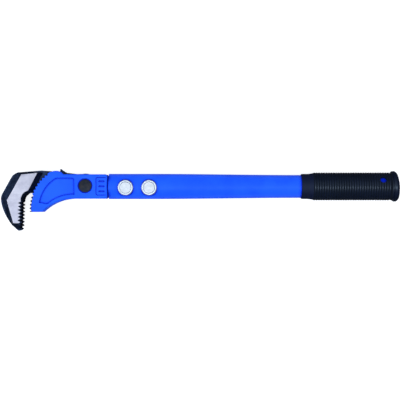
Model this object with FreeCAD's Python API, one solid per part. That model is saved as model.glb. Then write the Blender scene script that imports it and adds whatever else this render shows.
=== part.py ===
"""Self-adjusting pipe wrench, about 450 mm long, lying on its side.

The wrench is laid out in a handle frame: X runs along the handle from the jaws to the grip,
Y points from the open side of the jaws to the back of the hook, Z runs through the thickness,
and the hook turns about an axis along Z at X = 0. At the end every piece is moved so that the
origin is at the centre of the bottom of the whole wrench.
"""

import FreeCAD, Part
import math
import os

V = FreeCAD.Vector

# Head: one steel forging with two cheeks, a toothed heel and a tang inside the tube.
HEAD_THICKNESS = 24.0
HEAD_TOP = 13.5
HEAD_BOTTOM = -13.85
HEAD_REAR = 24.7
HEAD_EDGE_ROUND = 1.6
HEAD_REAR_ROUND = 2.6
HUMP_TOP = (-31.0, 17.3)
HUMP_FOOT = (-24.2, HEAD_TOP)
HEEL_FLOOR = -28.65
HEEL_CENTRE = (-13.7, -24.9)
HEEL_RADIUS = 48.3
HEEL_LAST_ANGLE = 125.0
HEEL_TEETH = 13
HEEL_TOOTH_DEPTH = 2.0
TOOTH_MOUTH_SHARE = 0.46
TOOTH_ROOT_SHARE = 0.07
SWEEP_CENTRE_X = -11.8
SWEEP_RADIUS = 52.6
PANEL_ARC = ((-51.6, -18.6), (-45.0, -1.3), (-33.0, 9.7))
PANEL_DEPTH = 1.2
PANEL_SLOPE = 1.0
PLATE_LEFT = 11.8
PLATE_TOP = 10.3
PLATE_BOTTOM = -10.2
PLATE_CORNER = 1.8
PLATE_LINE_WIDTH = 1.0
PLATE_LINE_DEPTH = 0.9
BAR_LEFT = 15.9
BAR_RIGHT = 20.9
BAR_HALF_WIDTH = 1.1
BAR_HEIGHTS = (-5.6, 0.0, 5.6)
BAR_DEPTH = 0.8
TANG_END = 88.0

# Hook jaw: a thick hook with ground side faces, a thinner shank between the cheeks, an eye.
HOOK_THICKNESS = 22.0
SHANK_THICKNESS = 12.0
SLOT_WIDTH = 12.8
SHANK_GAP = 0.1
PIVOT = (0.0, 0.7)
EYE_RADIUS = 13.7
EYE_GAP = 0.7
HOOK_TEETH = 8
HOOK_TOOTH_PITCH = 3.87
HOOK_TOOTH_DEPTH = 2.15
THROAT = ((-70.4, -18.8), (-70.0, -13.3), (-66.4, -8.9))
HOOK_TOOTH_LEAN = 2.0
HOOK_SWING = 45.0
HOOK_BEVEL_DROP = 6.5
FLARE_DEPTH = 3.0
FLARE_RIM = 0.8
FLARE_SHIFT = (-0.5, 2.0)
TOOTH_BEVEL = 1.6
RELIEF_DEPTH = 4.2
RELIEF_MOUTH_SHARE = 0.65

# Pivot pin, peened over in a countersink in each cheek.
PIN_RADIUS = 5.5
PIN_GAP = 0.05
PIN_HEAD_RADIUS = 7.25
PIN_HEAD_DEPTH = 2.0
PIN_SINK_RADIUS = 8.5

# Return spring and flat-nosed plunger. The nose rides on an involute face on the eye, so the
# plunger moves CAM_RADIUS millimetres for each radian that the hook turns.
CAM_RADIUS = 5.0
CAM_START = 8.4
CAM_RUN_IN = 26.0
CAM_RUN_OUT = 8.0
PLUNGER_RADIUS = 2.8
PLUNGER_GAP = 0.05
PLUNGER_FACE_GAP = 0.1
PLUNGER_END = 23.0
SPIGOT_RADIUS = 1.5
SPIGOT_LENGTH = 3.0
SPRING_BORE_END = 40.0
SPRING_RADIUS = 2.2
SPRING_WIRE_RADIUS = 0.45
SPRING_TURNS = 7

# Handle tube: round at the grip, squeezed to an oval over the tang.
TUBE_START = 25.9
TUBE_END = 349.0
TUBE_WALL = 2.5
TUBE_DIAMETER = 25.6
TANG_GAP = 0.1
OVAL_HEIGHT = 28.3
ROUND_HEIGHT = 25.7
SQUEEZE_START = 80.0
SQUEEZE_END = 240.0
SQUEEZE_STEPS = 10

# Rivets through tube and tang, each with two saddle washers.
RIVET_X = (45.0, 71.4)
RIVET_Y = -1.4
RIVET_RADIUS = 4.0
RIVET_HEAD_RADIUS = 6.5
RIVET_HEAD_HEIGHT = 1.0
RIVET_HEAD_SOFTNESS = 0.5
WASHER_RADIUS = 8.65
WASHER_TOP = 12.1
WASHER_BEVEL = 0.7

# Rubber grip.
GRIP_START = 242.0
GRIP_END = 353.0
COLLAR_END = 249.0
COLLAR_RADIUS = 14.15
COLLAR_ROUND = 1.2
COLLAR_CURVE = (252.6, 14.5)
RIB_START = 255.7
RIB_PITCH = 2.77
RIB_COUNT = 31
RIB_TIP_RADIUS = 15.65
RIB_DEPTH = 0.6
FLANGE_START = 344.4
FLANGE_RADIUS = 17.2
FLANGE_ROUND = 1.2
FLANGE_FULL_END = 347.7
FLANGE_TURN = (349.9, 15.7)
DOME_RIM = (350.9, 13.0)
FLANGE_LEAN = 3.5
CAP_OVERLAP = 1.5
GRIP_HOLE_X = 332.8
GRIP_HOLE_RADIUS = 3.5
GRIP_HOLE_TURN = 29.0

FAR = 200.0


def point(xy, z=0.0):
    """A point of the handle frame from an (x, y) pair."""
    return V(xy[0], xy[1], z)


def polar(centre, radius, degrees):
    """The (x, y) pair at a radius and an angle from a centre."""
    angle = math.radians(degrees)
    return (centre[0] + radius * math.cos(angle), centre[1] + radius * math.sin(angle))


def outline(start, *steps):
    """A closed wire in the XY plane. A step is a point, or a (middle, end) pair for an arc."""
    edges = []
    here = start
    for step in steps:
        if isinstance(step[0], tuple):
            middle, there = step
            edges.append(Part.Arc(point(here), point(middle), point(there)).toShape())
        else:
            there = step
            edges.append(Part.LineSegment(point(here), point(there)).toShape())
        here = there
    if math.dist(here, start) > 1e-6:
        edges.append(Part.LineSegment(point(here), point(start)).toShape())
    return Part.Wire(edges)


def slab(wire, low, high):
    """The solid over a flat closed wire, from one height to another."""
    face = Part.Face(wire)
    face.translate(V(0, 0, low))
    return face.extrude(V(0, 0, high - low))


def both_sides(solid):
    """A solid together with its mirror image on the other side of the wrench."""
    return Part.makeCompound([solid, solid.mirror(V(0, 0, 0), V(0, 0, 1))])


def across(centre, radius, low, high):
    """A cylinder along Z."""
    return Part.makeCylinder(radius, high - low, V(centre[0], centre[1], low))


def notch(tip, direction, pitch, depth, mouth_share=TOOTH_MOUTH_SHARE):
    """A groove cutter along Z between two teeth. Its mouth on the line of the teeth's tips is at
    tip, it points along direction, and its narrow root is flat. The shares are half widths in
    pitches."""
    forward = V(math.cos(direction), math.sin(direction), 0)
    aside = V(-forward.y, forward.x, 0)
    half_root = TOOTH_ROOT_SHARE * pitch
    half_outside = 2 * mouth_share * pitch - half_root
    outside = point(tip) - forward * depth
    root = point(tip) + forward * depth
    corners = [outside - aside * half_outside, outside + aside * half_outside,
               root + aside * half_root, root - aside * half_root]
    wire = Part.makePolygon(corners + corners[:1])
    return slab(wire, -HEAD_THICKNESS, HEAD_THICKNESS)


def edges_where(solid, test):
    """The edges of a solid whose middle point passes a test."""
    chosen = []
    for edge in solid.Edges:
        first, last = edge.ParameterRange
        if test(edge.valueAt((first + last) / 2), edge):
            chosen.append(edge)
    return chosen


def oval(x, inset):
    """A cross-section of the tube at x: an ellipse whose girth is that of the round tube. The
    height along Y eases from the oval end to the round end, and the inset shrinks the section
    all round."""
    share = min(max((x - SQUEEZE_START) / (SQUEEZE_END - SQUEEZE_START), 0.0), 1.0)
    half_height = (OVAL_HEIGHT + (ROUND_HEIGHT - OVAL_HEIGHT) * share**2 * (3 - 2 * share)) / 2
    half_width = math.sqrt(TUBE_DIAMETER**2 / 2 - half_height**2)
    ellipse = Part.Ellipse(V(x, half_height - inset, 0), V(x, 0, half_width - inset), V(x, 0, 0))
    return Part.Wire(ellipse.toShape())


def tube_form(inset):
    """The solid inside the tube's surface, shrunk by inset."""
    step = (SQUEEZE_END - SQUEEZE_START) / SQUEEZE_STEPS
    places = [TUBE_START] + [SQUEEZE_START + step * i for i in range(SQUEEZE_STEPS + 1)]
    return Part.makeLoft([oval(x, inset) for x in places + [TUBE_END]], True, True)


def heel_first_angle():
    """The angle of the heel's lowest tooth, whose tip is level with the floor of the heel."""
    drop = HEEL_CENTRE[1] - HEEL_FLOOR
    return 180.0 + math.degrees(math.asin(drop / HEEL_RADIUS))


def head_outline():
    """The side view of the forging, in front of the tang, with the tips of the heel's teeth
    on its front arc."""
    first = heel_first_angle()
    heel_foot = polar(HEEL_CENTRE, HEEL_RADIUS, first)
    heel_middle = polar(HEEL_CENTRE, HEEL_RADIUS, (first + HEEL_LAST_ANGLE) / 2)
    heel_end = polar(HEEL_CENTRE, HEEL_RADIUS, HEEL_LAST_ANGLE)
    sweep_centre = (SWEEP_CENTRE_X, HEAD_BOTTOM - SWEEP_RADIUS)
    drop = HEEL_FLOOR - sweep_centre[1]
    toe = (SWEEP_CENTRE_X - math.sqrt(SWEEP_RADIUS**2 - drop**2), HEEL_FLOOR)
    sweep_angle = math.degrees(math.atan2(drop, toe[0] - SWEEP_CENTRE_X))
    sweep_middle = polar(sweep_centre, SWEEP_RADIUS, (sweep_angle + 90.0) / 2)
    shoulder = HEAD_REAR - HEAD_REAR_ROUND
    turn = HEAD_REAR_ROUND * (1 - math.sqrt(0.5))
    return outline(
        heel_foot,
        (heel_middle, heel_end),
        ((-37.0, 16.7), HUMP_TOP),
        ((-27.0, 15.9), HUMP_FOOT),
        (shoulder, HEAD_TOP),
        ((HEAD_REAR - turn, HEAD_TOP - turn), (HEAD_REAR, HEAD_TOP - HEAD_REAR_ROUND)),
        (HEAD_REAR, HEAD_BOTTOM + HEAD_REAR_ROUND),
        ((HEAD_REAR - turn, HEAD_BOTTOM + turn), (shoulder, HEAD_BOTTOM)),
        (SWEEP_CENTRE_X, HEAD_BOTTOM),
        (sweep_middle, toe),
    )


def panel_outline():
    """The recessed panel on each cheek, which follows the heel and the underside."""
    low, middle, high = PANEL_ARC
    return outline(
        low,
        (middle, high),
        (-30.0, 9.9),
        (-14.6, 9.9),
        ((-12.6, 9.2), (-11.7, 7.4)),
        (-11.5, -9.4),
        ((-27.5, -11.9), (-41.8, -20.2)),
    )


def panel_form():
    """The cutter for both panels, with sloping walls round the floor of each."""
    face = HEAD_THICKNESS / 2
    floor = face - PANEL_DEPTH
    panel = slab(panel_outline(), floor, face + 1)
    rim = edges_where(panel, lambda middle, edge: abs(middle.z - floor) < 1e-6)
    return both_sides(panel.makeChamfer(PANEL_SLOPE, rim))


def plate_form():
    """The cutter for the marking plates: a grooved frame, open at the head's rear, round three
    plain bars."""
    face = HEAD_THICKNESS / 2
    rear = HEAD_REAR - HEAD_EDGE_ROUND

    def frame(inset):
        left, top, bottom = PLATE_LEFT + inset, PLATE_TOP - inset, PLATE_BOTTOM + inset
        turn = PLATE_CORNER - inset
        cut = turn * (1 - math.sqrt(0.5))
        return outline((rear, top), (left + turn, top),
                       ((left + cut, top - cut), (left, top - turn)),
                       (left, bottom + turn),
                       ((left + cut, bottom + cut), (left + turn, bottom)), (rear, bottom))

    base = face - PLATE_LINE_DEPTH
    groove = slab(frame(0.0), base, face + 1).cut(slab(frame(PLATE_LINE_WIDTH), base, face + 1))
    for height in BAR_HEIGHTS:
        low, high = height - BAR_HALF_WIDTH, height + BAR_HALF_WIDTH
        bar = outline((BAR_LEFT, low), (BAR_RIGHT, low),
                      ((BAR_RIGHT + BAR_HALF_WIDTH, height), (BAR_RIGHT, high)),
                      (BAR_LEFT, high), ((BAR_LEFT - BAR_HALF_WIDTH, height), (BAR_LEFT, low)))
        groove = groove.fuse(slab(bar, face - BAR_DEPTH, face + 1))
    return both_sides(groove)


def make_head(tang):
    face = HEAD_THICKNESS / 2
    body = slab(head_outline(), -face, face)

    def rounded(middle, edge):
        on_face = abs(abs(middle.z) - face) < 1e-6
        heel = abs(math.dist((middle.x, middle.y), HEEL_CENTRE) - HEEL_RADIUS) < 0.5
        return on_face and not heel

    body = body.makeFillet(HEAD_EDGE_ROUND, edges_where(body, rounded))

    first = heel_first_angle()
    turn = (first - HEEL_LAST_ANGLE) / (HEEL_TEETH - 1)
    pitch = math.radians(turn) * HEEL_RADIUS
    cutters = []
    for index in range(HEEL_TEETH - 1):
        angle = first - turn * (index + 0.5)
        tip = polar(HEEL_CENTRE, HEEL_RADIUS, angle)
        cutters.append(notch(tip, math.radians(angle + 180.0), pitch, HEEL_TOOTH_DEPTH))

    cutters += [panel_form(), plate_form()]

    cutters.append(across(PIVOT, PIN_RADIUS, -face - 1, face + 1))
    head_bore = across(PIVOT, PIN_HEAD_RADIUS, face - PIN_HEAD_DEPTH, face + 1)
    sink_depth = PIN_SINK_RADIUS - PIN_HEAD_RADIUS
    sink = Part.makeCone(PIN_HEAD_RADIUS, PIN_SINK_RADIUS, sink_depth,
                         V(PIVOT[0], PIVOT[1], face - sink_depth))
    cutters.append(both_sides(head_bore.fuse(sink)))

    body = body.fuse(tang)
    cutters.append(slot_form())
    bore_y = PIVOT[1] + CAM_RADIUS
    cutters.append(Part.makeCylinder(PLUNGER_RADIUS + PLUNGER_GAP, SPRING_BORE_END,
                                     V(0, bore_y, 0), V(1, 0, 0)))
    for x in RIVET_X:
        cutters.append(across((x, RIVET_Y), RIVET_RADIUS, -face, face))
    for cutter in cutters:
        body = body.cut(cutter)
    return body.removeSplitter()


def shank_underside():
    """The straight underside of the shank: its front end, and where it meets the eye."""
    front = (-62.6, -7.3)
    run = PIVOT[0] - front[0]
    rise = PIVOT[1] - front[1]
    reach = math.hypot(run, rise)
    lean = math.atan2(rise, run) - math.asin(EYE_RADIUS / reach)
    length = math.sqrt(reach**2 - EYE_RADIUS**2)
    return front, (front[0] + length * math.cos(lean), front[1] + length * math.sin(lean))


def slot_form():
    """The space between the cheeks: over the shank's underside, round the eye, and open below
    the eye, where the forging is too thin for a web."""
    front, tangent = shank_underside()
    lean = math.atan2(tangent[1] - front[1], tangent[0] - front[0])
    left = -80.0
    web_end = -20.0
    level = front[1] - SHANK_GAP / math.cos(lean)
    half = SLOT_WIDTH / 2

    def floor(x):
        return level + (x - front[0]) * math.tan(lean)

    back = EYE_RADIUS + EYE_GAP
    opening = outline((left, floor(left)), (web_end, floor(web_end)), (web_end, -FAR),
                      (PIVOT[0], -FAR), (PIVOT[0], FAR), (left, FAR))
    eye_room = across(PIVOT, back, -half, half)
    upper = Part.makeBox(back, FAR, SLOT_WIDTH, V(PIVOT[0], PIVOT[1], -half))
    lower = Part.makeBox(back, FAR, SLOT_WIDTH, V(PIVOT[0], PIVOT[1] - FAR, -half))
    corner = slab(opening, -half, half)
    return corner.fuse([eye_room, upper, lower]).removeSplitter()


def tooth_line():
    """The top and the foot of the line through the tips of the hook's teeth."""
    top = THROAT[0]
    length = HOOK_TEETH * HOOK_TOOTH_PITCH
    lean = math.radians(HOOK_TOOTH_LEAN)
    return top, (top[0] - length * math.sin(lean), top[1] - length * math.cos(lean))


def hook_outline(*right_side):
    """The side view of the hook, closed on its right by the given steps."""
    foot = tooth_line()[1]
    return outline(
        (-74.9, 15.8),
        ((-79.8, 13.9), (-82.7, 11.3)),
        (-93.4, -7.9),
        ((-94.7, -11.2), (-95.1, -14.8)),
        ((-90.6, -30.4), (-79.2, -46.0)),
        ((-77.4, -48.1), (-75.2, -49.7)),
        (-73.6, -49.6),
        foot,
        THROAT[0],
        (THROAT[1], THROAT[2]),
        ((-64.9, -7.7), shank_underside()[0]),
        *right_side,
    )


def bevel_cutter(start, end, drop, run, lead=60.0, lag=60.0):
    """Cutters for both side faces. Each leaves its face at the line from start to end and
    sinks by drop over run, to the right of that line. It begins a lead before the start and
    stops a lag after the end."""
    along = (point(end) - point(start)).normalize()
    outward = V(along.y, -along.x, 0)
    slope = math.atan2(drop, run)
    down = outward * math.cos(slope) - V(0, 0, math.sin(slope))
    away = outward * math.sin(slope) + V(0, 0, math.cos(slope))
    begin = point(start, HOOK_THICKNESS / 2) - along * lead
    corners = [begin, begin + down * 40, begin + down * 40 + away * 30, begin + away * 30]
    length = lead + math.dist(start, end) + lag
    block = Part.Face(Part.makePolygon(corners + corners[:1])).extrude(along * length)
    return both_sides(block)


def thick_hook():
    """The wide front of the hook: ground side faces, bevelled down to its back and its toe, and
    stepped down to the shank."""
    half = HOOK_THICKNESS / 2
    step = half - SHANK_THICKNESS / 2
    back, cheek = (-71.2, 13.2), (-87.4, -15.7)
    toe_back, toe_front = (-80.2, -41.0), (-72.0, -41.0)
    chin, brow = (-63.6, -4.4), (-53.5, 15.0)
    aside = V(brow[1] - chin[1], chin[0] - brow[0], 0).normalize() * step
    chin_out = (chin[0] + aside.x, chin[1] + aside.y)
    brow_out = (brow[0] + 1.3 + aside.x, brow[1] + 2.4 + aside.y)
    solid = slab(hook_outline(chin_out, brow_out), -half, half)

    throat = Part.Arc(*[point(xy) for xy in THROAT]).toShape().Curve
    rim = throat.Radius + FLARE_RIM
    flare = Part.makeCone(rim - FLARE_DEPTH, rim, FLARE_DEPTH,
                          throat.Center + point(FLARE_SHIFT, half - FLARE_DEPTH))
    solid = solid.cut(both_sides(flare))
    tooth_head, tooth_foot = [(x - TOOTH_BEVEL, y) for x, y in tooth_line()]
    solid = solid.cut(bevel_cutter(tooth_foot, tooth_head, TOOTH_BEVEL, TOOTH_BEVEL, 5.0, 0.0))
    solid = solid.cut(bevel_cutter(chin, brow, step, step, 3.0))
    solid = solid.cut(bevel_cutter(brow, back, 1.8, 2.2))
    solid = solid.cut(bevel_cutter(back, cheek, HOOK_BEVEL_DROP, 9.4))
    solid = solid.cut(bevel_cutter(cheek, toe_back, HOOK_BEVEL_DROP, 7.5))
    return solid.cut(bevel_cutter(toe_back, toe_front, HOOK_BEVEL_DROP, 8.5))


def cam_room():
    """The cutter for the plunger's room in the eye. Its inner wall is an involute of a circle
    about the pivot, which a flat nose moving along X stays tangent to as the hook turns."""
    first, last = math.radians(-CAM_RUN_IN), math.radians(HOOK_SWING + CAM_RUN_OUT)
    curve_points = []
    count = 9
    for index in range(count):
        turn = first + (last - first) * index / (count - 1)
        reach = CAM_START + CAM_RADIUS * turn
        x = reach * math.cos(turn) - CAM_RADIUS * math.sin(turn)
        y = reach * math.sin(turn) + CAM_RADIUS * math.cos(turn)
        curve_points.append(V(PIVOT[0] + x, PIVOT[1] + y, 0))
    curve = Part.BSplineCurve()
    curve.interpolate(curve_points)
    begin, end = curve_points[0], curve_points[-1]
    outside = 2 * EYE_RADIUS
    corners = [end, end + V(0, outside, 0), V(outside, end.y + outside, 0), V(outside, begin.y, 0),
               begin]
    lines = [Part.LineSegment(a, b).toShape() for a, b in zip(corners, corners[1:])]
    return slab(Part.Wire([curve.toShape()] + lines), -SHANK_THICKNESS, SHANK_THICKNESS)


def make_hook():
    half = SHANK_THICKNESS / 2
    tangent = shank_underside()[1]
    spur_foot, spur_tip, spur_back = (-22.4, 15.4), (-28.3, 19.6), (-28.6, 16.4)
    thin = slab(hook_outline(
        tangent,
        ((PIVOT[0] + EYE_RADIUS, PIVOT[1]), polar(PIVOT, EYE_RADIUS, 104.0)),
        (-9.5, 13.85), spur_foot, (-23.6, 16.3), (-24.0, 16.0), (-25.8, 17.7), (-26.2, 17.3),
        spur_tip, spur_back, (-49.6, 17.8),
    ), -half, half)
    solid = thick_hook().fuse(thin)
    top, foot = tooth_line()
    inward = math.radians(180.0 - HOOK_TOOTH_LEAN)
    for index in range(HOOK_TEETH + 1):
        share = index / HOOK_TEETH
        mouth = (top[0] + (foot[0] - top[0]) * share, top[1] + (foot[1] - top[1]) * share)
        solid = solid.cut(notch(mouth, inward, HOOK_TOOTH_PITCH, HOOK_TOOTH_DEPTH))
        relief = notch(mouth, inward, HOOK_TOOTH_PITCH, RELIEF_DEPTH, RELIEF_MOUTH_SHARE)
        relief.translate(V(0, 0, HEAD_THICKNESS + HOOK_THICKNESS / 2 - TOOTH_BEVEL))
        solid = solid.cut(both_sides(relief))
    solid = solid.cut(across(PIVOT, PIN_RADIUS + PIN_GAP, -half - 1, half + 1))
    return solid.cut(cam_room()).removeSplitter()


def turned(profile, axis_point, axis):
    """The solid swept by a closed flat wire turning once about an axis."""
    return Part.Face(profile).revolve(axis_point, axis, 360)


def dome(rim, crown):
    """The step of an outline that goes from rim to crown, a point on the Y axis, along a
    circle whose centre is on that axis, so that turning it makes a true spherical cap."""
    height = crown[1] - rim[1]
    radius = (rim[0]**2 + height**2) / (2 * height)
    half_angle = math.asin(rim[0] / radius) / 2
    middle = (radius * math.sin(half_angle), crown[1] - radius * (1 - math.cos(half_angle)))
    return middle, crown


def upright(wire, centre):
    """A wire drawn with radius along X and height along Y, stood up along Z at a centre."""
    wire.rotate(V(0, 0, 0), V(1, 0, 0), 90)
    wire.translate(V(centre[0], centre[1], 0))
    return turned(wire, point(centre), V(0, 0, 1))


def make_pin():
    """A plain pin whose two ends are peened out into low domes."""
    top = HEAD_THICKNESS / 2
    seat = top - PIN_HEAD_DEPTH
    rim, crown = (PIN_HEAD_RADIUS, top - 0.5), (0.0, top + 0.1)
    half = upright(outline((0.0, 0.0), (PIN_RADIUS, 0.0), (PIN_RADIUS, seat),
                           (PIN_HEAD_RADIUS, seat), rim, dome(rim, crown)), PIVOT)
    return half.fuse(half.mirror(V(0, 0, 0), V(0, 0, 1))).removeSplitter()


def make_rivet(x):
    """A solid rivet with a low flat-topped head on each end."""
    seat, top, edge = WASHER_TOP, WASHER_TOP + RIVET_HEAD_HEIGHT, RIVET_HEAD_RADIUS
    soft = RIVET_HEAD_SOFTNESS
    turn = soft * (1 - math.sqrt(0.5))
    half = upright(outline((0.0, 0.0), (RIVET_RADIUS, 0.0), (RIVET_RADIUS, seat), (edge, seat),
                           (edge, top - soft), ((edge - turn, top - turn), (edge - soft, top)),
                           (0.0, top)), (x, RIVET_Y))
    return half.fuse(half.mirror(V(0, 0, 0), V(0, 0, 1))).removeSplitter()


def make_washer(x, tube_surface):
    """A washer on the near side, hollowed below to sit on the tube, bevelled round its top."""
    ring = across((x, RIVET_Y), WASHER_RADIUS, WASHER_TOP - 4.0, WASHER_TOP - WASHER_BEVEL)
    bevel = Part.makeCone(WASHER_RADIUS, WASHER_RADIUS - WASHER_BEVEL, WASHER_BEVEL,
                          V(x, RIVET_Y, WASHER_TOP - WASHER_BEVEL))
    bore = across((x, RIVET_Y), RIVET_RADIUS, 0, FAR)
    return ring.fuse(bevel).removeSplitter().cut(tube_surface).cut(bore)


def make_plunger():
    """The flat-nosed plunger, with a spigot at its tail that centres the spring."""
    nose = CAM_START + PLUNGER_FACE_GAP
    origin, axis = V(nose, PIVOT[1] + CAM_RADIUS, 0), V(1, 0, 0)
    barrel = Part.makeCylinder(PLUNGER_RADIUS, PLUNGER_END - nose, origin, axis)
    tail = origin + axis * (PLUNGER_END - nose)
    return barrel.fuse(Part.makeCylinder(SPIGOT_RADIUS, SPIGOT_LENGTH, tail, axis))


def make_spring():
    """A round-wire compression spring between the plunger and the end of its bore."""
    first = PLUNGER_END + SPRING_WIRE_RADIUS + 0.05
    length = SPRING_BORE_END - SPRING_WIRE_RADIUS - 0.05 - first
    helix = Part.makeHelix(length / SPRING_TURNS, length, SPRING_RADIUS)
    ring = Part.Wire(Part.makeCircle(SPRING_WIRE_RADIUS, V(SPRING_RADIUS, 0, 0), V(0, 1, 0)))
    coil = Part.Wire(helix).makePipeShell([ring], True, True)
    coil.rotate(V(0, 0, 0), V(0, 1, 0), 90)
    coil.translate(V(first, PIVOT[1] + CAM_RADIUS, 0))
    return coil


def make_grip(tube_surface):
    """The ribbed rubber sleeve with a collar at its front and a flanged, domed end, which leans
    a little."""
    valley = RIB_TIP_RADIUS - RIB_DEPTH
    turn = COLLAR_ROUND * (1 - math.sqrt(0.5))
    steps = [
        (GRIP_START, COLLAR_RADIUS - COLLAR_ROUND),
        ((GRIP_START + turn, COLLAR_RADIUS - turn), (GRIP_START + COLLAR_ROUND, COLLAR_RADIUS)),
        (COLLAR_END, COLLAR_RADIUS),
        (COLLAR_CURVE, (RIB_START, valley)),
    ]
    for index in range(RIB_COUNT):
        begin = RIB_START + index * RIB_PITCH
        steps.append(((begin + RIB_PITCH / 2, RIB_TIP_RADIUS), (begin + RIB_PITCH, valley)))
    steps += [(FLANGE_START, RIB_TIP_RADIUS), (FLANGE_START + CAP_OVERLAP, 0.0)]
    sleeve = turned(outline((GRIP_START, 0.0), *steps), V(0, 0, 0), V(1, 0, 0))

    rim, crown = DOME_RIM[::-1], (0.0, GRIP_END)
    turn = FLANGE_ROUND * (1 - math.sqrt(0.5))
    cap = turned(outline(
        (FLANGE_START - CAP_OVERLAP, 0.0),
        (FLANGE_START - CAP_OVERLAP, valley),
        (FLANGE_START, RIB_TIP_RADIUS),
        ((FLANGE_START + turn, FLANGE_RADIUS - turn), (FLANGE_START + FLANGE_ROUND, FLANGE_RADIUS)),
        (FLANGE_FULL_END, FLANGE_RADIUS),
        (FLANGE_TURN, DOME_RIM),
        (dome(rim, crown)[0][::-1], crown[::-1]),
    ), V(0, 0, 0), V(1, 0, 0))
    cap.rotate(V(FLANGE_START, 0, 0), V(0, 0, 1), FLANGE_LEAN)
    sleeve = sleeve.fuse(cap)
    hole = Part.makeCylinder(GRIP_HOLE_RADIUS, FAR, V(GRIP_HOLE_X, 0, 0), V(0, 0, 1))
    hole.rotate(V(GRIP_HOLE_X, 0, 0), V(1, 0, 0), -GRIP_HOLE_TURN)
    return sleeve.cut(tube_surface).cut(hole)


def make_tang():
    """The forging's tail, which fills the squeezed end of the tube."""
    inside = tube_form(TUBE_WALL + TANG_GAP)
    inner_end = Part.makeBox(TANG_END - TUBE_START, FAR, FAR, V(TUBE_START, -FAR / 2, -FAR / 2))
    tail = inside.common(inner_end)
    neck = Part.Face(oval(TUBE_START, TUBE_WALL + TANG_GAP))
    root = neck.extrude(V(-6.0, 0, 0))
    return tail.fuse(root).removeSplitter()


def make_parts():
    tube_surface = tube_form(0.0)
    tube = tube_surface.cut(tube_form(TUBE_WALL))
    parts = {
        "head": make_head(make_tang()),
        "hook_jaw": make_hook(),
        "pivot_pin": make_pin(),
        "spring_plunger": make_plunger(),
        "return_spring": make_spring(),
    }
    for name, x in zip(("front", "rear"), RIVET_X):
        tube = tube.cut(across((x, RIVET_Y), RIVET_RADIUS, -FAR, FAR))
        near = make_washer(x, tube_surface)
        parts[name + "_rivet"] = make_rivet(x)
        parts[name + "_washer_near"] = near
        parts[name + "_washer_far"] = near.mirror(V(0, 0, 0), V(0, 0, 1))
    parts["handle_tube"] = tube
    parts["grip"] = make_grip(tube_surface)
    return parts


def main():
    os.makedirs("parts", exist_ok=True)
    parts = make_parts()
    box = FreeCAD.BoundBox()
    for shape in parts.values():
        box.add(shape.optimalBoundingBox(False))
    move = V(-box.Center.x, -box.Center.y, -box.ZMin)
    for name, shape in parts.items():
        shape.translate(move)
        shape.exportStep("parts/" + name + ".step")
        print(name, shape.isValid(), len(shape.Solids), round(shape.Volume, 1))
    print("size", round(box.XLength, 3), round(box.YLength, 3), round(box.ZLength, 3))
    print("handle frame origin at", [round(value, 3) for value in move])


main()
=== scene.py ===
"""The looks of the self-adjusting pipe wrench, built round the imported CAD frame.

The wrench lies on its side on a white table. Lengths are in metres.
"""

import math

import bpy
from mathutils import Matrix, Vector


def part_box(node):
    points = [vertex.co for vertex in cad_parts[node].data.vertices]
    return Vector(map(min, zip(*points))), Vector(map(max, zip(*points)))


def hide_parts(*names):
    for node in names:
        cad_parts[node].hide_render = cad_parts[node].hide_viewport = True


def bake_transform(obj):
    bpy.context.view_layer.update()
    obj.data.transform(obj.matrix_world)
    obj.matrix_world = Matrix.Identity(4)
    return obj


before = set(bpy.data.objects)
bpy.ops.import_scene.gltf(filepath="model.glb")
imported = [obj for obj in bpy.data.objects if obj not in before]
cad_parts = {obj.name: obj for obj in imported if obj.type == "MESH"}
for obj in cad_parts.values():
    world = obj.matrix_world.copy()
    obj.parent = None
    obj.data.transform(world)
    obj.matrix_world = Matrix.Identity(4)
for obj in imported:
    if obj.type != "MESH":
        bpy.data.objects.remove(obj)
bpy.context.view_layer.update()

MM = 0.001

# The camera looks straight down from a metre above a point on the tube, given from the pivot.
CAMERA_FROM_PIVOT = (128.3 * MM, -15.95 * MM)
CAMERA_HEIGHT = 1.0175
VIEW_WIDTH = 0.4514
SENSOR = 0.036

# Light: an overhead strip along the wrench, a weaker light at the jaw end, a white room that
# darkens from its ceiling to its floor, and a white table that glows a little. The stops of the
# room give its light at the sine of an angle above the horizon.
STRIP_PLACE = (0.0, -0.22, 1.25)
STRIP_SIZE = (1.7, 0.36)
STRIP_TARGET = (0.0, 0.0, 0.0)
STRIP_POWER = 10.4
SIDE_PLACE = (-0.96, 0.08, 0.33)
SIDE_SIZE = (0.7, 0.5)
SIDE_TARGET = (-0.2, 0.0, 0.0)
SIDE_POWER = 2.8
COLD_WHITE = (0.78, 0.87, 1.0)
ROOM_LIGHT = 1.46
ROOM_STOPS = ((0.0, 0.06), (0.06, 0.17), (0.5, 0.2), (1.0, 1.0))
TABLE_WHITE = 0.42
TABLE_GLOW = 0.78

# The table: half its side, the place of the flange's widest ring, measured from the grip's end,
# and a small gap under the wrench.
TABLE_REACH = 40.0
FLANGE_INSET = 7.0 * MM
TABLE_GAP = 0.2 * MM

# How far away a wall may be and still cast painted shade beside it, on the head and on the tube.
HEAD_SHADE_REACH = 2.4 * MM
TUBE_SHADE_REACH = 4.5 * MM

# The centre of the heel's arc of teeth, from the pivot, along the wrench and across it. The tips
# of the lower teeth are bare outside a radius and below a height over that centre, and each limit
# fades over a width.
HEEL_CENTRE = (-13.7 * MM, -25.6 * MM)
HEEL_BARE_RADIUS = 46.1 * MM
HEEL_BARE_FADE = 0.8 * MM
HEEL_BARE_TOP = 17.0 * MM
HEEL_TOP_FADE = 3.0 * MM
HEEL_FRONT_FADE = 2.0 * MM

# How far the hook's ground faces are from the middle plane, and the direction of their scratches.
HOOK_FACE_HEIGHT = 10.93 * MM
HOOK_GRIND_TURN = math.radians(-62)

# The pivot pin's end: its hammered middle and its rim, which carries a ring of painted shade.
PIN_MIDDLE_RADIUS = 5.4 * MM
PIN_RIM_RADIUS = 7.0 * MM

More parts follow.
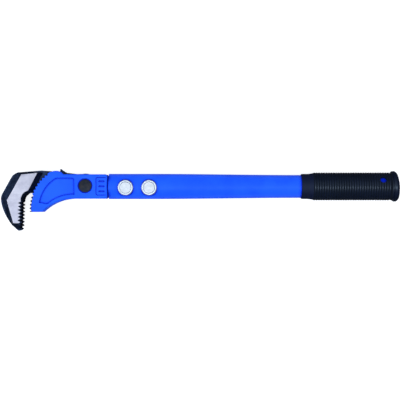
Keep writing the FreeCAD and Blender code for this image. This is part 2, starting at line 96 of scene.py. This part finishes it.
# The spacing of the turned rings on the zinc plated pieces.
TURNING_PITCH = 0.35 * MM

# The grip's ribs: the radius of their tips and of the grooves between them, about the handle's
# axis, whose place across the wrench is measured from the pivot.
RIB_TIP_RADIUS = 15.65 * MM
RIB_ROOT_RADIUS = 15.05 * MM
HANDLE_AXIS_Y = -0.7 * MM

# The return spring.
SPRING_RADIUS = 2.2 * MM
SPRING_WIRE_RADIUS = 0.45 * MM
SPRING_TURNS = 7
SPRING_RINGS_A_TURN = 28
SPRING_RING_POINTS = 12


def linear(red, green, blue):
    """A linear colour with alpha from 8-bit sRGB values."""
    def channel(value):
        share = value / 255
        return share / 12.92 if share <= 0.04045 else ((share + 0.055) / 1.055) ** 2.4
    return (channel(red), channel(green), channel(blue), 1.0)


def grey(value):
    """A linear grey with alpha."""
    return (value, value, value, 1.0)


PAINT_DEEP = (0.01, 0.084, 0.85, 1.0)
PAINT_LIGHT = (0.013, 0.103, 0.9, 1.0)
PAINT_CREVICE_SHADE = (0.0003, 0.014, 0.5, 1.0)
PAINT_DUST = (0.05, 0.16, 0.8, 1.0)
PAINT_SHINE = (0.4, 0.75, 1.0, 1.0)
BARE_STEEL = linear(26, 32, 52)
OILED_STEEL = grey(0.5)
FACE_DULL = linear(140, 137, 145)
FACE_BRIGHT = linear(158, 155, 161)
FACE_LINE = linear(112, 111, 123)
OXIDE_DEEP = linear(20, 27, 41)
OXIDE_LIGHT = linear(41, 52, 74)
OXIDE_EDGE = linear(120, 130, 150)
OXIDE_PAINTED_SHADE = grey(0.001)
PIN_COLD = linear(6, 16, 30)
PIN_WARM = linear(34, 31, 34)
PIN_GAP_SHADE = linear(9, 16, 42)
RIVET_ZINC = (linear(150, 154, 157), linear(172, 172, 172))
WASHER_ZINC = (linear(165, 170, 176), linear(188, 190, 192))
ZINC_PAINTED_SHADE = linear(90, 100, 116)
RUBBER_GROOVE_SHADE = linear(1, 5, 15)
RUBBER_COLLAR = linear(0, 8, 38)
RUBBER_TIP_HIGHLIGHTS = (linear(3, 10, 27), linear(7, 16, 36))
RUBBER_SHINE = (0.74, 0.88, 1.0, 1.0)


class Shader:
    """A node material under construction, with short calls for its nodes."""

    def __init__(self, name):
        self.material = bpy.data.materials.new(name)
        self.material.use_nodes = True
        self.tree = self.material.node_tree
        self.surface = self.tree.nodes["Principled BSDF"]
        self.place = self.add("ShaderNodeTexCoord").outputs["Object"]

    def add(self, kind, **settings):
        """A new node, with its properties set."""
        node = self.tree.nodes.new(kind)
        for key, value in settings.items():
            setattr(node, key, value)
        return node

    def feed(self, socket, value):
        """Gives a socket a constant, or links it to another node's output."""
        if isinstance(value, bpy.types.NodeSocket):
            self.tree.links.new(value, socket)
        else:
            socket.default_value = value

    def set(self, **values):
        """Feeds the shader's own sockets, named with underscores for spaces."""
        for key, value in values.items():
            self.feed(self.surface.inputs[key.replace("_", " ")], value)

    def math(self, operation, *values):
        """The result of a Math node."""
        node = self.add("ShaderNodeMath", operation=operation)
        for socket, value in zip(node.inputs, values):
            self.feed(socket, value)
        return node.outputs[0]

    def moved(self, centre=(0, 0, 0), turn=(0, 0, 0), scale=(1, 1, 1)):
        """The place measured from a centre, then turned and scaled."""
        shift = self.add("ShaderNodeVectorMath", operation="SUBTRACT")
        self.feed(shift.inputs[0], self.place)
        shift.inputs[1].default_value = centre
        node = self.add("ShaderNodeMapping")
        self.feed(node.inputs["Vector"], shift.outputs[0])
        node.inputs["Rotation"].default_value = turn
        node.inputs["Scale"].default_value = scale
        return node.outputs[0]

    def axes(self, vector):
        """The three parts of a vector."""
        node = self.add("ShaderNodeSeparateXYZ")
        self.feed(node.inputs[0], vector)
        return node.outputs

    def noise(self, scale, detail=3.0, roughness=0.5, vector=None):
        """Smooth noise between 0 and 1, with that many lumps to the metre."""
        node = self.add("ShaderNodeTexNoise")
        self.feed(node.inputs["Vector"], vector or self.place)
        node.inputs["Scale"].default_value = scale
        node.inputs["Detail"].default_value = detail
        node.inputs["Roughness"].default_value = roughness
        return node.outputs["Fac"]

    def specks(self, scale, size):
        """1 in round specks scattered at random, 0 elsewhere."""
        node = self.add("ShaderNodeTexVoronoi", feature="F1")
        self.feed(node.inputs["Vector"], self.place)
        node.inputs["Scale"].default_value = scale
        return self.step(node.outputs["Distance"], size, size * 0.6)

    def step(self, value, low, high):
        """0 up to low, 1 from high, and a smooth rise between. It falls where low is above."""
        if low > high:
            return self.math("SUBTRACT", 1.0, self.step(value, high, low))
        node = self.add("ShaderNodeMapRange", interpolation_type="SMOOTHSTEP")
        self.feed(node.inputs["Value"], value)
        node.inputs["From Min"].default_value = low
        node.inputs["From Max"].default_value = high
        return node.outputs["Result"]

    def span(self, value, low, high):
        """A value from 0 to 1, spread between low and high."""
        node = self.add("ShaderNodeMapRange")
        self.feed(node.inputs["Value"], value)
        node.inputs["To Min"].default_value = low
        node.inputs["To Max"].default_value = high
        return node.outputs["Result"]

    def mix(self, share, first, second):
        """A colour between two."""
        node = self.add("ShaderNodeMix", data_type="RGBA")
        self.feed(node.inputs["Factor"], share)
        first_colour, second_colour = node.inputs[6:8]
        self.feed(first_colour, first)
        self.feed(second_colour, second)
        return node.outputs[2]

    def blend(self, share, first, second):
        """A number between two."""
        node = self.add("ShaderNodeMix", data_type="FLOAT")
        self.feed(node.inputs[0], share)
        self.feed(node.inputs[2], first)
        self.feed(node.inputs[3], second)
        return node.outputs[0]

    def crevice(self, distance, start=0.95, full=0.6):
        """A share that grows from 0 in the open to 1 in grooves and inner corners, where less
        than full of the sky within a distance is free."""
        node = self.add("ShaderNodeAmbientOcclusion", samples=8)
        node.inputs["Distance"].default_value = distance
        return self.step(node.outputs["AO"], start, full)

    def bump(self, height, depth, normal=None):
        """A bumped normal: height 0 to 1 stands for that depth in metres."""
        node = self.add("ShaderNodeBump")
        node.inputs["Distance"].default_value = depth
        self.feed(node.inputs["Height"], height)
        if normal:
            self.feed(node.inputs["Normal"], normal)
        return node.outputs["Normal"]


def middle_of(node):
    """The middle of a CAD node's box."""
    low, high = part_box(node)
    return (low + high) / 2


def radius_about(shader, centre, plane=(0, 1)):
    """The distance from an axis through a centre. The plane across it is given by two axes."""
    spot = shader.axes(shader.moved(centre))
    first, second = [shader.math("POWER", spot[axis], 2.0) for axis in plane]
    return shader.math("SQRT", shader.math("ADD", first, second))


def paint(name, reach, bare=None):
    """Blue enamel with a slight orange peel and painted shade in grooves and beside walls, judged
    over a reach. The optional function bare gives a share of bare dark steel for a shader."""
    shader = Shader(name)
    cloud = shader.noise(45.0, 3.0)
    colour = shader.mix(shader.step(cloud, 0.3, 0.7), PAINT_DEEP, PAINT_LIGHT)
    # Painted shade: the blue darkens in grooves and next to walls within the reach.
    colour = shader.mix(shader.crevice(reach, 0.97, 0.84), colour, PAINT_CREVICE_SHADE)
    dust = shader.math("MULTIPLY", shader.specks(900.0, 0.12), 0.2)
    colour = shader.mix(dust, colour, PAINT_DUST)
    roughness = shader.span(shader.noise(160.0, 4.0), 0.34, 0.46)
    normal = shader.bump(shader.noise(520.0, 2.0), 0.05 * MM)
    normal = shader.bump(shader.noise(2600.0, 1.0), 0.005 * MM, normal)
    if bare:
        share = bare(shader)
        colour = shader.mix(share, colour, BARE_STEEL)
        roughness = shader.blend(share, roughness, 0.42)
    shader.set(Base_Color=colour, Roughness=roughness, Normal=normal)
    shader.set(Specular_IOR_Level=0.13, Specular_Tint=PAINT_SHINE)
    return shader.material


def heel_wear(shader):
    """The share of bare steel on the tips of the heel's lower teeth."""
    pivot = middle_of("pivot_pin")
    centre = Vector((pivot.x + HEEL_CENTRE[0], pivot.y + HEEL_CENTRE[1], 0))
    ragged = shader.math("MULTIPLY_ADD", shader.noise(500.0, 3.0), HEEL_BARE_FADE,
                         radius_about(shader, centre))
    tips = shader.step(ragged, HEEL_BARE_RADIUS, HEEL_BARE_RADIUS + HEEL_BARE_FADE)
    along, across = shader.axes(shader.moved(centre))[:2]
    front = shader.step(along, 0.0, -HEEL_FRONT_FADE)
    lower = shader.step(across, HEEL_BARE_TOP, HEEL_BARE_TOP - HEEL_TOP_FADE)
    return shader.math("MULTIPLY", shader.math("MULTIPLY", tips, front), lower)


def black_oxide_hook():
    """Black oxide on a forging, with bright ground faces on both sides of the hook, and painted
    shade in its grooves.
    """
    shader = Shader("hook_finish")
    pivot = middle_of("pivot_pin")
    level = shader.math("ABSOLUTE", shader.axes(shader.moved(pivot))[2])
    ground = shader.step(level, HOOK_FACE_HEIGHT, HOOK_FACE_HEIGHT + 0.04 * MM)

    scratched = shader.moved(pivot, (0, 0, HOOK_GRIND_TURN), (30, 1400, 1))
    lines = shader.noise(1.0, 4.0, 0.65, scratched)
    haze = shader.noise(95.0, 5.0, 0.6)
    bright = shader.mix(shader.step(haze, 0.3, 0.7), FACE_DULL, FACE_BRIGHT)
    scratches = shader.math("MULTIPLY", shader.step(lines, 0.45, 0.75), 0.3)
    bright = shader.mix(scratches, bright, FACE_LINE)

    scale = shader.noise(260.0, 5.0, 0.62)
    dark = shader.mix(shader.step(scale, 0.3, 0.75), OXIDE_DEEP, OXIDE_LIGHT)
    # Painted shade: the oxide darkens in the hook's grooves and between its teeth.
    shade = shader.math("MULTIPLY", shader.crevice(3.0 * MM, 0.9, 0.5), 0.4)
    dark = shader.mix(shade, dark, OXIDE_PAINTED_SHADE)

    rough_dark = shader.span(scale, 0.36, 0.56)
    rough_bright = shader.span(lines, 0.3, 0.46)
    roughness = shader.blend(ground, rough_dark, rough_bright)
    normal = shader.bump(scale, 0.1 * MM)
    normal = shader.bump(shader.math("MULTIPLY", lines, ground), 0.01 * MM, normal)
    shader.set(Base_Color=shader.mix(ground, dark, bright), Roughness=roughness, Normal=normal)
    shader.set(Metallic=0.88, Specular_IOR_Level=0.12, Specular_Tint=OXIDE_EDGE)
    return shader.material


def dark_pin():
    """A dark oiled steel pin whose peened ends show faint hammer dimples and a rim of painted
    shade.
    """
    shader = Shader("pin_finish")
    radius = radius_about(shader, middle_of("pivot_pin"))
    dimples = shader.noise(700.0, 3.0)
    stain = shader.step(shader.noise(260.0, 4.0), 0.35, 0.65)
    middle = shader.mix(stain, PIN_COLD, PIN_WARM)
    # Painted shade: a darker bluish ring round the rim of the pin's end.
    rim_shade = shader.step(radius, PIN_MIDDLE_RADIUS, PIN_RIM_RADIUS)
    colour = shader.mix(rim_shade, middle, PIN_GAP_SHADE)
    shader.set(Base_Color=colour, Metallic=0.3, Roughness=shader.span(dimples, 0.35, 0.55))
    shader.set(Normal=shader.bump(dimples, 0.08 * MM), Specular_IOR_Level=0.2)
    return shader.material


def zinc(name, centre, shades):
    """Bright zinc plate, mottled between two shades, with fine turned rings about a centre, and
    painted shade in its crevices.
    """
    shader = Shader(name)
    radius = radius_about(shader, centre)
    turning = shader.math("SINE", shader.math("MULTIPLY", radius, 2 * math.pi / TURNING_PITCH))
    mottle = shader.noise(420.0, 5.0, 0.6)
    colour = shader.mix(shader.step(mottle, 0.3, 0.72), *shades)
    # Painted shade: the zinc darkens in crevices and inner corners.
    colour = shader.mix(shader.crevice(0.8 * MM), colour, ZINC_PAINTED_SHADE)
    shader.set(Base_Color=colour, Metallic=0.8, Roughness=shader.span(mottle, 0.26, 0.42))
    height = shader.math("MULTIPLY_ADD", turning, 0.12, mottle)
    shader.set(Normal=shader.bump(height, 0.04 * MM))
    return shader.material


def rubber():
    """Black rubber with a fine matt grain, polished on the tips of its ribs, dull in the grooves
    between them, and satin on the collar in front of them, with a painted highlight on the rib
    tips and painted shade in the grooves."""
    shader = Shader("grip_finish")
    pivot = middle_of("pivot_pin")
    radius = radius_about(shader, Vector((0, pivot.y + HANDLE_AXIS_Y, pivot.z)), (1, 2))
    collar = shader.step(radius, RIB_ROOT_RADIUS - 0.05 * MM, RIB_ROOT_RADIUS - 0.15 * MM)
    tip = shader.step(radius, RIB_ROOT_RADIUS + 0.15 * MM, RIB_TIP_RADIUS - 0.05 * MM)
    patch = shader.noise(60.0, 4.0)
    # Painted highlight on the rib tips, mottled in patches, and painted shade in the grooves.
    lit_tips_mottled = shader.mix(shader.step(patch, 0.3, 0.75), *RUBBER_TIP_HIGHLIGHTS)
    colour = shader.mix(tip, shader.mix(collar, RUBBER_GROOVE_SHADE, RUBBER_COLLAR), lit_tips_mottled)
    roughness = shader.blend(tip, shader.blend(collar, 0.92, 0.65), 0.26)
    grain = shader.span(shader.noise(240.0, 4.0), -0.05, 0.05)
    shader.set(Base_Color=colour, Roughness=shader.math("ADD", roughness, grain))
    shader.set(Normal=shader.bump(shader.noise(2200.0, 3.0), 0.015 * MM))
    shader.set(Specular_IOR_Level=0.26, Specular_Tint=RUBBER_SHINE)
    return shader.material


def plain_steel(name, colour):
    """Oiled machined steel, for the hidden spring and plunger."""
    shader = Shader(name)
    film = shader.noise(380.0, 4.0)
    shader.set(Base_Color=shader.mix(film, colour, OILED_STEEL), Metallic=1.0)
    shader.set(Roughness=shader.span(film, 0.25, 0.45))
    shader.set(Normal=shader.bump(shader.noise(1500.0, 2.0), 0.01 * MM))
    return shader.material


def make_spring(material):
    """The return spring, built again as a coil of wire in the place of the CAD spring."""
    low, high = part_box("return_spring")
    middle = middle_of("return_spring")
    first, last = low.x + SPRING_WIRE_RADIUS, high.x - SPRING_WIRE_RADIUS
    ring_count = SPRING_TURNS * SPRING_RINGS_A_TURN
    rise = (last - first) / (2 * math.pi * SPRING_TURNS)
    vertices = []
    for ring in range(ring_count + 1):
        turn = 2 * math.pi * ring / SPRING_RINGS_A_TURN
        outward = Vector((0, math.sin(turn), -math.cos(turn)))
        centre = Vector((first + rise * turn, middle.y, middle.z)) + outward * SPRING_RADIUS
        forward = Vector((rise, SPRING_RADIUS * math.cos(turn), SPRING_RADIUS * math.sin(turn)))
        aside = forward.normalized().cross(outward)
        for index in range(SPRING_RING_POINTS):
            angle = 2 * math.pi * index / SPRING_RING_POINTS
            spoke = outward * math.cos(angle) + aside * math.sin(angle)
            vertices.append(centre + spoke * SPRING_WIRE_RADIUS)
    faces = []
    for here in range(0, ring_count * SPRING_RING_POINTS, SPRING_RING_POINTS):
        there = here + SPRING_RING_POINTS
        for index in range(SPRING_RING_POINTS):
            after = (index + 1) % SPRING_RING_POINTS
            faces.append((here + index, here + after, there + after, there + index))
    faces.append(tuple(reversed(range(SPRING_RING_POINTS))))
    faces.append(tuple(range(len(vertices) - SPRING_RING_POINTS, len(vertices))))
    mesh = bpy.data.meshes.new("spring_coil")
    mesh.from_pydata(vertices, [], faces)
    mesh.shade_smooth()
    mesh.materials.append(material)
    coil = bpy.data.objects.new("spring_coil", mesh)
    bpy.context.scene.collection.objects.link(coil)
    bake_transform(coil)
    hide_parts("return_spring")


def assign(node, material):
    """Gives a CAD node its one material."""
    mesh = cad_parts[node].data
    mesh.materials.clear()
    mesh.materials.append(material)


def finish_pieces():
    """Gives every piece its material."""
    assign("head", paint("head_paint", HEAD_SHADE_REACH, heel_wear))
    assign("handle_tube", paint("tube_paint", TUBE_SHADE_REACH))
    assign("hook_jaw", black_oxide_hook())
    assign("pivot_pin", dark_pin())
    assign("spring_plunger", plain_steel("plunger_steel", grey(0.35)))
    make_spring(plain_steel("spring_steel", grey(0.25)))
    assign("grip", rubber())
    for end in ("front", "rear"):
        centre = middle_of(end + "_rivet")
        assign(end + "_rivet", zinc(end + "_rivet_zinc", centre, RIVET_ZINC))
        washer = zinc(end + "_washer_zinc", centre, WASHER_ZINC)
        for side in ("near", "far"):
            assign(end + "_washer_" + side, washer)


def make_camera():
    """A camera that looks straight down, with the wrench lengthwise in its view."""
    camera = bpy.data.objects.new("camera", bpy.data.cameras.new("camera"))
    bpy.context.scene.collection.objects.link(camera)
    camera.data.sensor_width = SENSOR / MM
    camera.data.lens = SENSOR / MM * CAMERA_HEIGHT / VIEW_WIDTH
    pivot = middle_of("pivot_pin")
    aside, across = CAMERA_FROM_PIVOT
    camera.location = (pivot.x + aside, pivot.y + across, pivot.z + CAMERA_HEIGHT)
    bpy.context.scene.camera = camera


def make_light(name, place, target, size, power):
    """A rectangular light at a place, aimed at a target."""
    data = bpy.data.lights.new(name, "AREA")
    data.shape = "RECTANGLE"
    data.size, data.size_y = size
    data.energy = power
    data.color = COLD_WHITE
    light = bpy.data.objects.new(name, data)
    bpy.context.scene.collection.objects.link(light)
    light.location = place
    light.rotation_mode = "QUATERNION"
    light.rotation_quaternion = (Vector(target) - Vector(place)).to_track_quat("-Z", "Y")


def make_floor():
    """A white table that touches the grip's flange and the head, on which the wrench rests."""
    mesh = bpy.data.meshes.new("floor")
    signs = ((-1, -1), (1, -1), (1, 1), (-1, 1))
    corners = [(x * TABLE_REACH, y * TABLE_REACH, 0) for x, y in signs]
    mesh.from_pydata(corners, [], [(0, 1, 2, 3)])
    floor = bpy.data.objects.new("floor", mesh)
    bpy.context.scene.collection.objects.link(floor)
    grip_low, grip_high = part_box("grip")
    head_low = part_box("head")[0]
    flange_x = grip_high.x - FLANGE_INSET
    rise = head_low.z - grip_low.z
    run = flange_x - head_low.x
    floor.rotation_euler = (0, math.atan2(rise, run), 0)
    floor.location = (0, 0, rise * flange_x / run - TABLE_GAP)

    shader = Shader("floor_white")
    shader.set(Base_Color=grey(TABLE_WHITE), Roughness=0.85, Emission_Color=grey(1.0))
    shader.set(Emission_Strength=TABLE_GLOW, Specular_IOR_Level=0.1)
    mesh.materials.append(shader.material)
    floor.visible_glossy = False


def make_world():
    """The white room, whose light depends on the height of the direction."""
    world = bpy.data.worlds.new("studio")
    bpy.context.scene.world = world
    world.use_nodes = True
    nodes, links = world.node_tree.nodes, world.node_tree.links
    direction = nodes.new("ShaderNodeTexCoord")
    split = nodes.new("ShaderNodeSeparateXYZ")
    share = nodes.new("ShaderNodeMapRange")
    share.inputs["From Min"].default_value = -1.0
    ramp = nodes.new("ShaderNodeValToRGB")
    ramp.color_ramp.interpolation = "EASE"
    stops = ramp.color_ramp.elements
    while len(stops) < len(ROOM_STOPS):
        stops.new(0.5)
    for stop, (height, level) in zip(stops, ROOM_STOPS):
        stop.position = (height + 1) / 2
        stop.color = (*[level * part for part in COLD_WHITE], 1.0)
    background = nodes["Background"]
    background.inputs["Strength"].default_value = ROOM_LIGHT
    links.new(direction.outputs["Generated"], split.inputs[0])
    links.new(split.outputs["Z"], share.inputs["Value"])
    links.new(share.outputs["Result"], ramp.inputs[0])
    links.new(ramp.outputs["Color"], background.inputs["Color"])


make_camera()
make_world()
make_floor()
make_light("strip", STRIP_PLACE, STRIP_TARGET, STRIP_SIZE, STRIP_POWER)
make_light("side", SIDE_PLACE, SIDE_TARGET, SIDE_SIZE, SIDE_POWER)
finish_pieces()

bpy.context.scene.view_settings.view_transform = "Standard"
